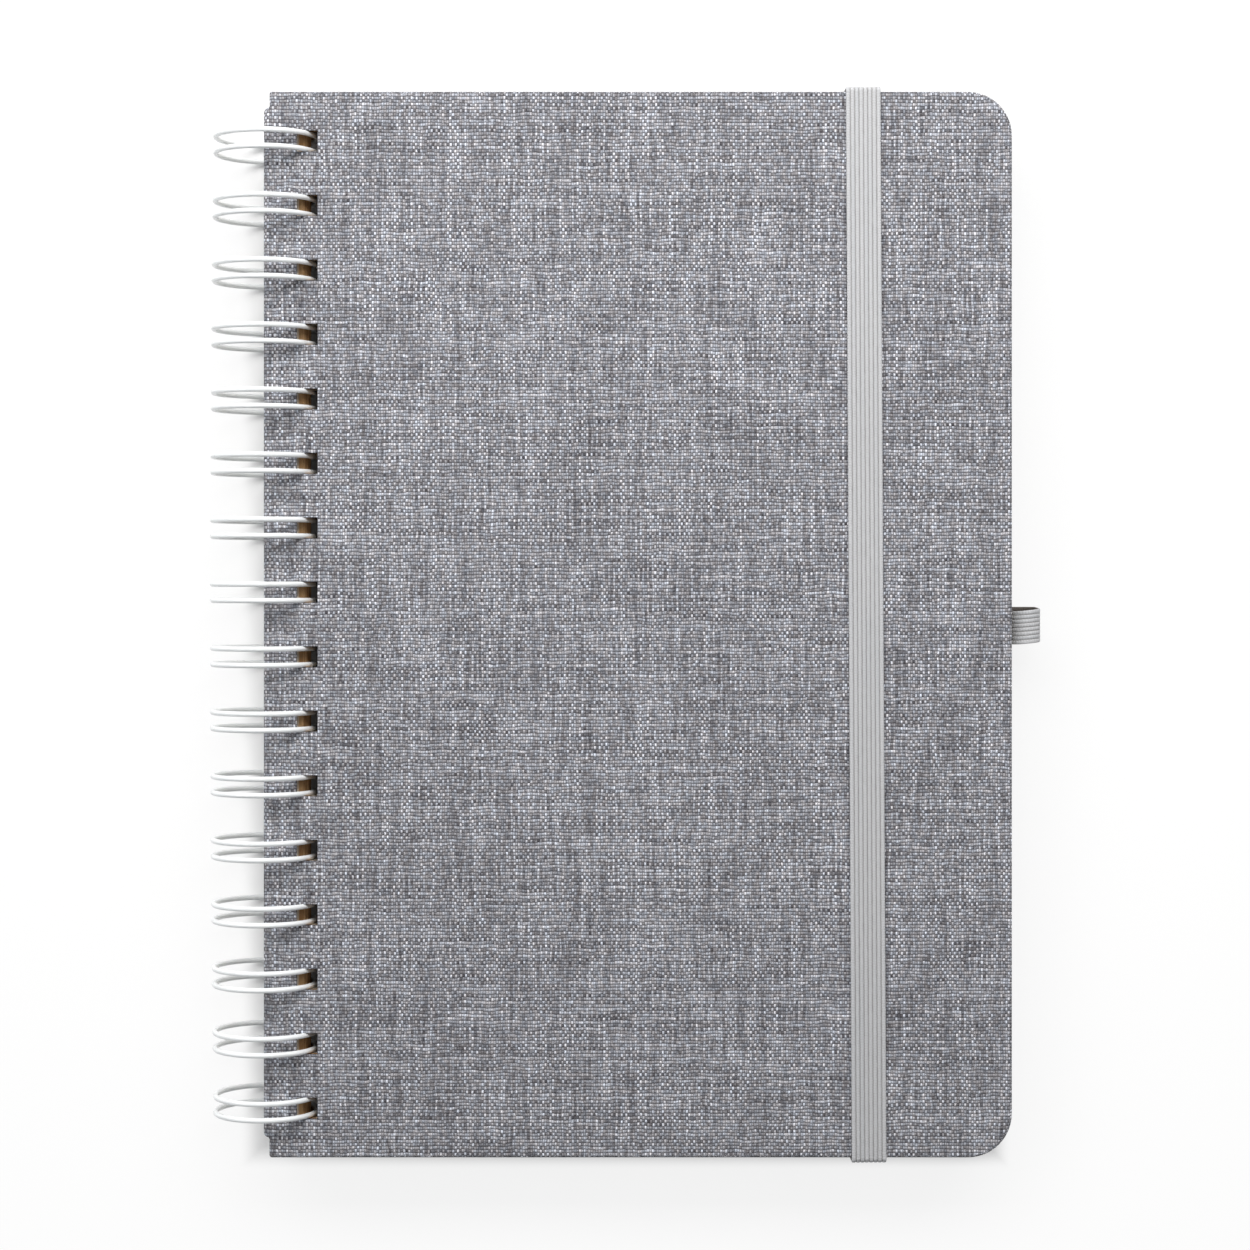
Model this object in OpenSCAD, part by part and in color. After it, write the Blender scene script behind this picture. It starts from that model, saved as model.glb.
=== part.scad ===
/* [Covers] */
// Width of a cover from its folded spine edge to the fore edge
cover_w = 147.5; // [110:0.5:180]
// Height of a cover from tail to head
cover_l = 210; // [204:1:260]
// Thickness of the grey board inside a cover
board_t = 1.8; // [1.6:0.1:3]
// Thickness of the woven cloth that wraps a board
cloth_t = 0.3; // [0.2:0.05:0.5]
// Thickness of the paper that lines the inside of a cover
lining_t = 0.2; // [0.1:0.05:0.4]
// Border of turned-in cloth that stays bare round the lining
lining_margin = 3; // [2:0.5:6]
// Radius of the two fore edge corners of a cover
corner_r = 8.7; // [4:0.1:14]
// How far the soft cloth fold stands out from the spine edge of the board
fold_out = 1.2; // [1.1:0.05:1.6]
// Length of spine edge at the head where the cloth is folded flat
fold_head_gap = 3; // [2:0.1:4]
// Length of spine edge at the tail where the cloth is folded flat
fold_tail_gap = 3.8; // [2:0.1:4.5]

/* [Pages] */
// Thickness of the closed block of sheets
pages_t = 7; // [4:0.1:8]
// How far the sheets stay back from the fore edge of the covers
page_fore_inset = 3; // [2:0.5:6]
// How far the sheets stay back from the head and from the tail
page_end_inset = 2.5; // [1:0.5:5]
// How far the sheets stay back from the spine edge of the covers
page_spine_inset = 2; // [1:0.5:4]
// How much further from the axis the holes of the sheets stand than those of the covers
page_hole_shift = 1.5; // [0:0.1:1.6]

/* [Twin-loop wire] */
// Diameter of the coated wire
wire_d = 1.05; // [0.9:0.05:1.15]
// Inside diameter of the closed loops
loop_in_d = 19.05; // [17.5:0.05:24]
// Number of loops
loop_count = 16; // [8:1:16]
// Distance from one loop to the next
loop_pitch = 12.7; // [12:0.1:12.7]
// Distance between the two wires of one loop
loop_wires = 3.2; // [2.6:0.1:3.6]
// Centre radius of the bends where a loop goes over into the next one
root_bend_r = 1.6; // [1.2:0.1:2]
// Angle of the closed seam, under the back cover, counted down from the covers
seam_angle = 57; // [54:1:64]
// Space between the tip of a loop and the roots that it closes against
seam_gap = 0.45; // [0.2:0.05:1]
// Distance from the axis of the loops to the folded spine edge of the covers
spine_set = 0.4; // [0.3:0.05:2]
// Room between the wire and the near and far side of a punched hole
hole_play = 0.7; // [0.3:0.05:1]
// Room between a wire and the upper and lower side of a punched hole
hole_side_play = 0.1; // [0.1:0.05:0.4]

/* [Elastic strap] */
// Width of the strap
strap_w = 6.8; // [5:0.1:10]
// Thickness of the strap at its ribs
strap_t = 0.9; // [0.6:0.05:1]
// Depth of the grooves between the ribs of the strap and of the pen loop
groove_depth = 0.15; // [0.05:0.01:0.25]
// Number of ribs across the strap and across the pen loop
rib_count = 8; // [4:1:12]
// Distance from the fore edge to the middle of the strap
strap_from_fore = 28.8; // [16:0.1:50]
// Slant of the strap, in degrees, with its head end nearer the spine
strap_slant = 0.32; // [0:0.01:0.6]
// Distance from the head and the tail to the slots that the strap ends go through
strap_slot_in = 14; // [8:0.5:24]
// Length of each strap end that is glued under the lining
strap_tab_l = 12; // [6:0.5:20]
// Room round a strap end in its slot, and round the ends of the pen loop
slot_play = 0.15; // [0.1:0.05:0.4]
// Room between the strap and the head and tail edges that it turns round
strap_play = 0.03; // [0.02:0.01:0.2]

/* [Pen loop] */
// Width of the elastic of the pen loop
pen_w = 7; // [5:0.1:12]
// Thickness of the elastic of the pen loop
pen_t = 0.6; // [0.5:0.05:0.7]
// How far the pen loop stands out from the fore edge
pen_reach = 6; // [5.5:0.1:8]
// Height of the pen loop
pen_h = 8; // [7.5:0.1:9]
// Length of the two glued ends of the pen loop inside the back cover
pen_leg_l = 12; // [8:0.5:20]
// Room between the pen loop and the fore edge that it stands beside
pen_edge_gap = 0.2; // [0.1:0.05:0.4]

/* [Hidden] */
eps = 0.5;

// Stack of covers and sheets, with the axis of the loops half way up
cover_t = board_t + cloth_t + lining_t;
stack_h = pages_t / 2 + cover_t;
loop_r = (loop_in_d + wire_d) / 2;
loop_out_r = loop_in_d / 2 + wire_d;
axis_x = (loop_out_r - (spine_set + cover_w + pen_reach)) / 2;
axis_z = loop_out_r;

// Punched holes, as far from the axis as the wire needs to pass the stack
hole_near = sqrt(pow(loop_in_d / 2, 2) - pow(stack_h, 2)) - hole_play;
hole_far = loop_out_r + hole_play;
hole_h = loop_wires + wire_d + 2 * hole_side_play;

// Angles of the wire, counted from the fore edge side and up over the front cover
seam_at = -seam_angle;
root_at = seam_at + asin(root_bend_r / loop_r);
tip_r = loop_wires / 2;
tip_at = seam_at + 360 - asin((wire_d + seam_gap) / loop_r) - asin(tip_r / loop_r);

// Where two bends of the wire meet, they end a hair apart inside a short sleeve
end_short = 0.05;
sleeve_l = 0.4;
sleeve_swell = 0.02;

// Spine edge of the board and the round fold of cloth over it
board_x = fold_out + cloth_t;
fold_r = cover_t / 2 - 0.02;

// Strap and pen loop
strap_x = spine_set + cover_w - strap_from_fore;
slot_y = cover_l / 2 - strap_slot_in;
strap_edge = (cover_l / 2 + strap_w / 2 * sin(strap_slant)) / cos(strap_slant);
strap_turn = ceil(100 * (strap_edge + strap_play)) / 100;
fore_x = spine_set + cover_w;
pen_r = (pen_reach - pen_edge_gap) / 2;
pen_x = fore_x + pen_edge_gap + pen_r;
pen_leg_z = -pages_t / 2 - lining_t;
pen_low_z = -stack_h + pen_r + 0.1;
pen_high_z = pen_low_z + pen_h - 2 * pen_r;

function loop_y(k) = (k - (loop_count - 1) / 2) * loop_pitch;

// Everything is modelled round the axis of the loops and then set down at its place
module at_axis() translate([axis_x, 0, axis_z]) children();

// A sheet with square corners at the spine and round ones at the fore edge
module leaf(w, l, r) {
    translate([0, -l / 2]) square([w - r, l]);
    translate([w - r - eps, -l / 2 + r]) square([r + eps, l - 2 * r]);
    for (s = [-1, 1])
        translate([w - r, s * (l / 2 - r)]) circle(r = r, $fn = 64);
}

// The row of rectangular holes, long enough to cut the whole stack
module punched_holes(shift = 0) {
    for (k = [0 : loop_count - 1])
        translate([hole_near + shift, loop_y(k) - hole_h / 2, -stack_h - 1])
            cube([hole_far - hole_near, hole_h, 2 * stack_h + 2]);
}

// The layers of one cover with its inner face down at z = 0 and its fold at x = 0
module board_layer() {
    translate([board_x, 0, lining_t]) linear_extrude(board_t)
        leaf(cover_w - board_x - cloth_t, cover_l - 2 * cloth_t, corner_r - cloth_t);
}

module lining_layer(grow = 0) {
    translate([fold_out + lining_margin, 0, -grow]) linear_extrude(lining_t + grow)
        leaf(cover_w - fold_out - 2 * lining_margin, cover_l - 2 * lining_margin, corner_r - lining_margin);
}

// The soft fold over the spine edge, round in section and at both ends
module spine_fold() {
    low = -cover_l / 2 + fold_tail_gap + fold_r;
    high = cover_l / 2 - fold_head_gap - fold_r;
    translate([fold_r, low, cover_t / 2]) rotate([-90, 0, 0]) cylinder(r = fold_r, h = high - low, $fn = 48);
    for (y = [low, high])
        translate([fold_r, y, cover_t / 2]) sphere(r = fold_r, $fn = 48);
    translate([fold_r, low, cover_t / 2 - fold_r]) cube([fold_out, high - low, 2 * fold_r]);
}

module cloth_layer() {
    difference() {
        union() {
            translate([fold_out, 0, 0]) linear_extrude(cover_t)
                leaf(cover_w - fold_out, cover_l, corner_r);
            spine_fold();
        }
        board_layer();
        lining_layer(1);
    }
}

// Where the covers lie in the stack
module as_front() translate([spine_set, 0, pages_t / 2]) children();
module as_back() translate([spine_set, 0, -pages_t / 2]) mirror([0, 0, 1]) children();
module at_strap() translate([strap_x, 0, 0]) rotate([0, 0, strap_slant]) children();

// Side view of the strap: over the front, round head and tail and in through the slots
module strap_side(t) {
    translate([-strap_turn, stack_h]) square([2 * strap_turn, t]);
    for (m = [0, 1]) mirror([m, 0]) {
        translate([strap_turn, -stack_h]) square([t, 2 * stack_h]);
        for (s = [-1, 1]) intersection() {
            translate([strap_turn, s * stack_h]) circle(r = t, $fn = 32);
            translate([strap_turn, s > 0 ? stack_h : -stack_h - t]) square(t);
        }
        translate([slot_y, -stack_h - t]) square([strap_turn - slot_y, t]);
        translate([slot_y, -stack_h - t]) square([t, cover_t - lining_t + t]);
        translate([slot_y - strap_tab_l, pen_leg_z - t]) square([strap_tab_l + t, t]);
    }
}

// Slots and shallow beds for the strap ends in the back cover
module strap_cuts() {
    at_strap() translate([-strap_w / 2 - slot_play, 0, 0]) rotate([90, 0, 90])
        linear_extrude(strap_w + 2 * slot_play)
            for (m = [0, 1]) mirror([m, 0]) {
                translate([slot_y - slot_play, -stack_h - 1])
                    square([strap_t + 2 * slot_play, 1 + cover_t - lining_t]);
                translate([slot_y - strap_tab_l - slot_play, pen_leg_z - strap_t])
                    square([strap_tab_l + strap_t + 2 * slot_play, strap_t]);
            }
}

// Bed for the two glued ends of the pen loop, open at the fore edge
module pen_cut() {
    translate([fore_x - pen_leg_l - slot_play, -pen_w / 2 - slot_play, pen_leg_z - 2 * pen_t])
        cube([pen_leg_l + slot_play + eps, pen_w + 2 * slot_play, 2 * pen_t]);
}

module front_cloth() {
    color([0.57, 0.57, 0.59]) at_axis() difference() {
        as_front() cloth_layer();
        punched_holes();
    }
}

module front_board() {
    color([0.60, 0.48, 0.35]) at_axis() difference() {
        as_front() board_layer();
        punched_holes();
    }
}

module front_lining() {
    color([0.93, 0.92, 0.90]) at_axis() difference() {
        as_front() lining_layer();
        punched_holes();
    }
}

module back_cloth() {
    color([0.57, 0.57, 0.59]) at_axis() difference() {
        as_back() cloth_layer();
        punched_holes();
        strap_cuts();
        pen_cut();
    }
}

module back_board() {
    color([0.60, 0.48, 0.35]) at_axis() difference() {
        as_back() board_layer();
        punched_holes();
        strap_cuts();
        pen_cut();
    }
}

module back_lining() {
    color([0.93, 0.92, 0.90]) at_axis() difference() {
        as_back() lining_layer();
        punched_holes();
    }
}

module page_block() {
    color([0.96, 0.95, 0.91]) at_axis() difference() {
        translate([spine_set + page_spine_inset, 0, -pages_t / 2]) linear_extrude(pages_t)
            leaf(cover_w - page_spine_inset - page_fore_inset, cover_l - 2 * page_end_inset,
                corner_r - page_end_inset);
        punched_holes(page_hole_shift);
    }
}

// Round wire bent in the plane of x and y, from one angle through another, a hair short at each end
module wire_bend(r, from, through) {
    short = end_short / r * 180 / PI;
    rotate_extrude(angle = through - 2 * short, start = from + short, $fn = 96)
        translate([r, 0]) circle(d = wire_d, $fn = 24);
}

// Short sleeve along y that joins two bends of the wire
module sleeve() rotate([90, 0, 0])
    cylinder(d = wire_d + 2 * sleeve_swell, h = sleeve_l, center = true, $fn = 24);

// A place on the loops, with y along the spine and z along the wire
module on_loop(a) rotate([0, -a, 0]) translate([loop_r, 0, 0]) rotate([90, 0, 90]) children();

// One closed loop: two wires side by side round the stack, joined at the tip
module twin_loop() {
    for (s = [-1, 1]) {
        translate([0, s * loop_wires / 2, 0]) rotate([90, 0, 0]) wire_bend(loop_r, root_at, tip_at - root_at);
        on_loop(root_at) translate([s * loop_wires / 2, 0, 0]) sleeve();
        on_loop(tip_at) translate([s * tip_r, 0, 0]) sleeve();
    }
    on_loop(tip_at) wire_bend(tip_r, 0, 180);
}

// The root between two loops: out of one loop, along the spine and into the next
module root_link() {
    span = loop_pitch - loop_wires - 2 * root_bend_r;
    on_loop(root_at) {
        for (s = [-1, 1]) {
            translate([s * span / 2, 0, 0]) wire_bend(root_bend_r, s > 0 ? 270 : 180, 90);
            translate([s * span / 2, -root_bend_r, 0]) rotate([0, 0, 90]) sleeve();
        }
        translate([end_short - span / 2, -root_bend_r, 0]) rotate([0, 90, 0])
            cylinder(d = wire_d, h = span - 2 * end_short, $fn = 24);
    }
}

module wire_comb() {
    color([0.93, 0.94, 0.95]) at_axis() {
        for (k = [0 : loop_count - 1])
            translate([0, loop_y(k), 0]) twin_loop();
        for (k = [0 : loop_count - 2])
            translate([0, (loop_y(k) + loop_y(k + 1)) / 2, 0]) root_link();
    }
}

// Ribbed elastic: a thin web with ribs that stand out by the depth of the grooves
module ribbed(w) {
    pitch = w / rib_count;
    for (k = [0 : rib_count - 1])
        translate([0, 0, (k + 0.15) * pitch]) linear_extrude(0.7 * pitch) children(0);
    translate([0, 0, 0.15 * pitch]) linear_extrude(w - 0.3 * pitch) children(1);
}

module elastic_strap() {
    color([0.74, 0.74, 0.74]) at_axis() at_strap()
        translate([-strap_w / 2, 0, 0]) rotate([90, 0, 90]) ribbed(strap_w) {
            strap_side(strap_t);
            strap_side(strap_t - groove_depth);
        }
}

// Side view of the pen loop: an upright ring with its two ends side by side
module pen_side(cut) {
    difference() {
        union() {
            for (z = [pen_low_z, pen_high_z])
                translate([pen_x, z]) circle(r = pen_r - cut, $fn = 64);
            translate([pen_x - pen_r + cut, pen_low_z]) square([2 * (pen_r - cut), pen_high_z - pen_low_z]);
        }
        pen_inside(pen_r - pen_t);
    }
    difference() {
        translate([fore_x - pen_leg_l, pen_leg_z - 2 * pen_t]) square([pen_leg_l + pen_r, 2 * pen_t]);
        pen_inside(pen_r - pen_t / 2);
    }
}

module pen_inside(r) {
    for (z = [pen_low_z, pen_high_z])
        translate([pen_x, z]) circle(r = r, $fn = 64);
    translate([pen_x - r, pen_low_z]) square([2 * r, pen_high_z - pen_low_z]);
}

module pen_loop() {
    color([0.74, 0.74, 0.74]) at_axis()
        translate([0, pen_w / 2, 0]) rotate([90, 0, 0]) ribbed(pen_w) {
            pen_side(0);
            pen_side(groove_depth);
        }
}

front_cloth();
front_board();
front_lining();
page_block();
back_cloth();
back_board();
back_lining();
wire_comb();
elastic_strap();
pen_loop();
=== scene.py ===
import math
import bmesh
import bpy
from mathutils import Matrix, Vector
from mathutils.geometry import tessellate_polygon


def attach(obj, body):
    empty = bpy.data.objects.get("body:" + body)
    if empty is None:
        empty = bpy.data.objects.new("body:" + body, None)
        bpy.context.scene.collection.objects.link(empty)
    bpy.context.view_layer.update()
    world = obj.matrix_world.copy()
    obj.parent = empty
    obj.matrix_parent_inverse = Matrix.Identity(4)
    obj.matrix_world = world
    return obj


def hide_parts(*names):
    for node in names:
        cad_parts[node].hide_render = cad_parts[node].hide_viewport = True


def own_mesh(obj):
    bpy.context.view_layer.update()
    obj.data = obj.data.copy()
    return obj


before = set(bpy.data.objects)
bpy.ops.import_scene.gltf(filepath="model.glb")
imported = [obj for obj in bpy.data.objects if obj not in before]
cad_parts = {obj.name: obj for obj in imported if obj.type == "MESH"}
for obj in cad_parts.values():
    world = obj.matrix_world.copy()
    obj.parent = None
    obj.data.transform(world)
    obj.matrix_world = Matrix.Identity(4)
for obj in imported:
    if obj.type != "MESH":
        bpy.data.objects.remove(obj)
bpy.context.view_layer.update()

# Grey board inside each cover, seen only where the punch has cut it. It is pressed from waste
# paper, brown and fibrous, in layers that lie flat, and the cloth is glued round it. Sizes in
# this file are millimetres in the frame of the model, unless they say otherwise.
MM = 0.001
BOARD_TONES = [(0.3, (0.20, 0.11, 0.045)), (0.5, (0.36, 0.205, 0.09)), (0.7, (0.50, 0.32, 0.16))]
BOARD_RELIEF = 0.12 * MM


class Socket:
    """Wraps a shader socket, so that sums on it are written as sums."""

    def __init__(self, tree, plug=None):
        self.tree, self.plug = tree, plug

    def node(self, kind, out=0, settings=None, stops=None, **sockets):
        made = self.tree.nodes.new(kind)
        for name, value in (settings or {}).items():
            setattr(made, name, value)
        if stops:
            while len(made.color_ramp.elements) < len(stops):
                made.color_ramp.elements.new(0.5)
            for element, (place, colour) in zip(made.color_ramp.elements, stops):
                element.position, element.color = place, (*colour, 1)
        for name, value in sockets.items():
            target = made.inputs[int(name[1:]) if name[1:].isdigit() else name.replace("_", " ")]
            if isinstance(value, Socket):
                self.tree.links.new(value.plug, target)
            else:
                target.default_value = value
        return Socket(self.tree, made.outputs[out])

    def maths(self, operation, *values):
        return self.node("ShaderNodeMath", settings={"operation": operation},
                         **{f"i{n}": value for n, value in enumerate(values)})

    def __add__(self, other):
        return self.maths("ADD", self, other)

    def __sub__(self, other):
        return self.maths("SUBTRACT", self, other)

    def __mul__(self, other):
        return self.maths("MULTIPLY", self, other)

    def __truediv__(self, other):
        return self.maths("DIVIDE", self, other)

    def __radd__(self, other):
        return self.maths("ADD", other, self)

    def __rsub__(self, other):
        return self.maths("SUBTRACT", other, self)

    def __rmul__(self, other):
        return self.maths("MULTIPLY", other, self)

    def floor(self):
        return self.maths("FLOOR", self)

    def fract(self):
        return self.maths("FRACT", self)

    def unsigned(self):
        return self.maths("ABSOLUTE", self)

    def over(self, other):
        return self.maths("GREATER_THAN", self, other)

    def larger(self, other):
        return self.maths("MAXIMUM", self, other)

    def between(self, low, high):
        """A soft step from 0 at low to 1 at high."""
        return self.node("ShaderNodeMapRange", settings={"interpolation_type": "SMOOTHSTEP"},
                         Value=self, From_Min=low, From_Max=high)

    def pick(self, first, second):
        """The first number where this is 0 and the second where it is 1."""
        return self.node("ShaderNodeMix", i0=self, i2=first, i3=second)

    def tint(self, first, second, blend="MIX"):
        """The same for two colours."""
        colours = {"data_type": "RGBA", "blend_type": blend}
        first, second = [(*c, 1) if isinstance(c, tuple) else c for c in (first, second)]
        return self.node("ShaderNodeMix", 2, colours, i0=self, i6=first, i7=second)

    def ramp(self, tones):
        return self.node("ShaderNodeValToRGB", i0=self, stops=tones)

    def point(self, x, y, z=0.0):
        return self.node("ShaderNodeCombineXYZ", i0=x, i1=y, i2=z)

    def noise(self, place, scale, detail=2.0, roughness=0.5):
        return self.node("ShaderNodeTexNoise", Vector=place, Scale=scale, Detail=detail,
                         Roughness=roughness)

    def parts(self, place):
        apart = self.node("ShaderNodeSeparateXYZ", i0=place)
        return [Socket(self.tree, apart.plug.node.outputs[n]) for n in range(3)]

    def place(self):
        """Where a point lies on the piece's own object."""
        return self.node("ShaderNodeTexCoord", 3)


def material(name, recipe, **constants):
    """A material whose recipe gives its colour, roughness and height, and how deep that is."""
    made = bpy.data.materials.new(name)
    made.use_nodes = True
    tree = made.node_tree
    shader = tree.nodes["Principled BSDF"]
    for socket, value in constants.items():
        shader.inputs[socket.replace("_", " ")].default_value = value
    start = Socket(tree)
    colour, rough, height, depth = recipe(start)
    tree.links.new(colour.plug, shader.inputs["Base Color"])
    tree.links.new(rough.plug, shader.inputs["Roughness"])
    bump = start.node("ShaderNodeBump", Height=height, Distance=depth, Strength=1.0)
    tree.links.new(bump.plug, shader.inputs["Normal"])
    return made


def dress(nodes, finish):
    """Gives pieces of the model itself a finish. Their meshes stay as they are."""
    for node in nodes:
        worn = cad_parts[node].data.materials
        worn.clear()
        worn.append(finish)


def pressed_board(s):
    """Flat layers of pulp with coarse fibres in them."""
    place = s.place()
    x, y, z = s.parts(place)
    layers = s.noise(s.point(x * 300.0, y * 300.0, z * 4200.0), 1.0, 3.0)
    fibres = s.noise(place, 1500.0, 3.0)
    mix = layers * 0.6 + fibres * 0.4
    return mix.ramp(BOARD_TONES), mix * 0.1 + 0.85, mix, BOARD_RELIEF


dress(("front_board", "back_board"), material("grey board", pressed_board, Specular_IOR_Level=0.2))

# Woven cloth that wraps both boards. The real piece is a linen-like polyester of light and
# dark heather yarns, glued down, folded round the four edges and over the soft spine fold,
# and punched through together with the board.
AXIS_X, AXIS_Z = -71.6625, 10.575
COVER_LEFT, COVER_RIGHT, COVER_HALF, COVER_THICK = AXIS_X + 0.4, 76.2375, 105.0, 2.3
COVER_CORNER, COVER_SPINE_CORNER = 8.7, 0.5
HALF_SHEETS, HALF_STACK = 3.5, 5.8
BACK_OUTER, BACK_INNER = AXIS_Z - HALF_STACK, AXIS_Z - HALF_SHEETS
FRONT_OUTER, FRONT_INNER = AXIS_Z + HALF_STACK, AXIS_Z + HALF_SHEETS
CLOTH_THICK, CLOTH_EDGE_R = 0.26, 0.45
FOLD_OUT, FOLD_R, FOLD_TUCK, FOLD_TAIL_GAP, FOLD_HEAD_GAP = 1.2, 1.13, 3.2, 3.8, 3.0
FOLD_DOME = (0.05, 0.3, 0.6, 0.9, 1.2, math.pi / 2)
FOLD_LENGTHS, FOLD_FACETS = 24, 16
LINING_LEFT, LINING_RIGHT, LINING_HALF = COVER_LEFT + 4.2, COVER_RIGHT - 3.0, COVER_HALF - 3.0
LINING_CORNER, LINING_SPINE_CORNER = 5.7, 0.2
LOOPS, PITCH = 16, 12.7
HOLE_LEFT, HOLE_RIGHT, HOLE_HALF = AXIS_X + 6.856, AXIS_X + 11.275, 2.225
LIP_R, LIP_DEPTH, LIP_LENGTH = 0.14, 0.28, 0.36
STRAP_X, STRAP_SLANT = 47.4375, math.radians(0.32)
SLOT_Y, SLOT_HALF_W, SLOT_HALF_H = 91.45, 3.55, 0.6
WARP_PITCH, WEFT_PITCH = 0.48 * MM, 0.65 * MM
YARN_TONES = [(0.32, (0.068, 0.063, 0.071)), (0.44, (0.214, 0.21, 0.226)),
              (0.54, (0.466, 0.466, 0.50)), (0.66, (0.92, 0.925, 0.99))]
WARM_DYE, COOL_DYE = (1.0, 0.97, 0.945), (0.925, 0.975, 1.025)
# Near black of the painted shade in the gaps between yarns.
SHADE_BETWEEN_YARNS = (0.026, 0.023, 0.028)
WARP_SWAY, WEFT_SWAY, SWAYS_PER_METRE = 1.3, 1.1, 240.0
YARN_BELOW, WARP_DIP, WEFT_DIP, WEAVE_RELIEF = 0.25, 0.6, 0.5, 0.22 * MM
WARP_STREAK, WEFT_STREAK, YARN_FLECK = 0.045, 0.04, 0.8
DYE_SPOT, PATCH_ACROSS, PATCH_ALONG, PATCH_DEPTH = 0.45, 34.0, 13.0, 0.035
GAP_DEPTH = 0.92


def corner_round(x, y, radius, start, steps):
    """Points of a round corner about (x, y), a quarter turn on from an angle in degrees."""
    turns = [math.radians(start + 90 * i / steps) for i in range(steps + 1)]
    return [(x + radius * math.cos(t), y + radius * math.sin(t)) for t in turns]


def leaf_outline(left, right, half, fore, spine, fore_steps=14, spine_steps=4):
    """Outline of a cover or a sheet, anticlockwise. fore and spine are radii of its corners."""
    return (corner_round(right - fore, half - fore, fore, 0, fore_steps)
            + corner_round(left + spine, half - spine, spine, 90, spine_steps)
            + corner_round(left + spine, spine - half, spine, 180, spine_steps)
            + corner_round(right - fore, fore - half, fore, 270, fore_steps))


def loop_y(k):
    """Where loop k of the wire stands along the spine, counted from the tail."""
    return (k - (LOOPS - 1) / 2) * PITCH


def punched_row(shift=0.0):
    """Outlines of the punched holes, clockwise, as they lie along the spine."""
    left, right = HOLE_LEFT + shift, HOLE_RIGHT + shift
    row = []
    for k in range(LOOPS):
        low, high = loop_y(k) - HOLE_HALF, loop_y(k) + HOLE_HALF
        row.append([(left, low), (left, high), (right, high), (right, low)])
    return row


def slot_cut(middle):
    """Outline of a slot for an end of the strap, clockwise."""
    points = []
    for dx, dy in ((-1, -1), (-1, 1), (1, 1), (1, -1)):
        y = middle + SLOT_HALF_H * dy
        points.append((STRAP_X + SLOT_HALF_W * dx - y * math.tan(STRAP_SLANT), y))
    return points


def outward(outline, sharpest=0.5):
    """For each point of an outline, how it moves as the outline grows by one."""
    moves = []
    for i, (x, y) in enumerate(outline):
        (ax, ay), (bx, by) = outline[i - 1], outline[(i + 1) % len(outline)]
        first = Vector((y - ay, ax - x)).normalized()
        second = Vector((by - y, x - bx)).normalized()
        middle = (first + second).normalized()
        moves.append(middle / max(sharpest, middle.dot(first)))
    return moves


def quarter(radius, steps):
    """A rounded edge as (in from the outline, down from the top, length along the cloth)."""
    turns = [math.pi / 2 * i / steps for i in range(steps + 1)]
    return [(radius * (1 - math.sin(t)), radius * (1 - math.cos(t)), radius * t) for t in turns]


def as_object(mesh, name, finish):
    """Makes a built mesh an object at the origin, with one finish."""
    data = bpy.data.meshes.new(name)
    mesh.to_mesh(data)
    mesh.free()
    data.materials.append(finish)
    made = bpy.data.objects.new(name, data)
    bpy.context.scene.collection.objects.link(made)
    return made


def bake_down(made):
    """Turns an object with modifiers into a plain mesh."""
    graph = bpy.context.evaluated_depsgraph_get()
    data = bpy.data.meshes.new_from_object(made.evaluated_get(graph))
    made.modifiers.clear()
    made.data = data
    data.name = made.name


class Wrap:
    """A skin grown ring by ring from outlines. It keeps where each point lay on flat cloth."""

    def __init__(self):
        self.mesh = bmesh.new()
        self.flat = self.mesh.verts.layers.float_vector.new("flat")

    def ring(self, outline, z, grow=0.0, along=0.0, lie=None):
        made = []
        spread = (grow if lie is None else lie) + along
        for (x, y), move in zip(outline, outward(outline)):
            vert = self.mesh.verts.new(Vector((x + move.x * grow, y + move.y * grow, z)) * MM)
            vert[self.flat] = Vector((x + move.x * spread, y + move.y * spread, 0)) * MM
            made.append(vert)
        return made

    def strip(self, upper, lower, smooth=True):
        for i in range(len(upper)):
            j = (i + 1) % len(upper)
            self.mesh.faces.new((upper[i], lower[i], lower[j], upper[j])).smooth = smooth

    def flat_face(self, rings, up=True):
        everyone = [v for ring in rings for v in ring]
        for trio in tessellate_polygon([[v.co for v in ring] for ring in rings]):
            face = self.mesh.faces.new([everyone[i] for i in trio])
            face.normal_update()
            if (face.normal.z > 0) != up:
                face.normal_flip()

    def finish(self, name, finish):
        self.mesh.normal_update()
        return as_object(self.mesh, name, finish)


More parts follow.
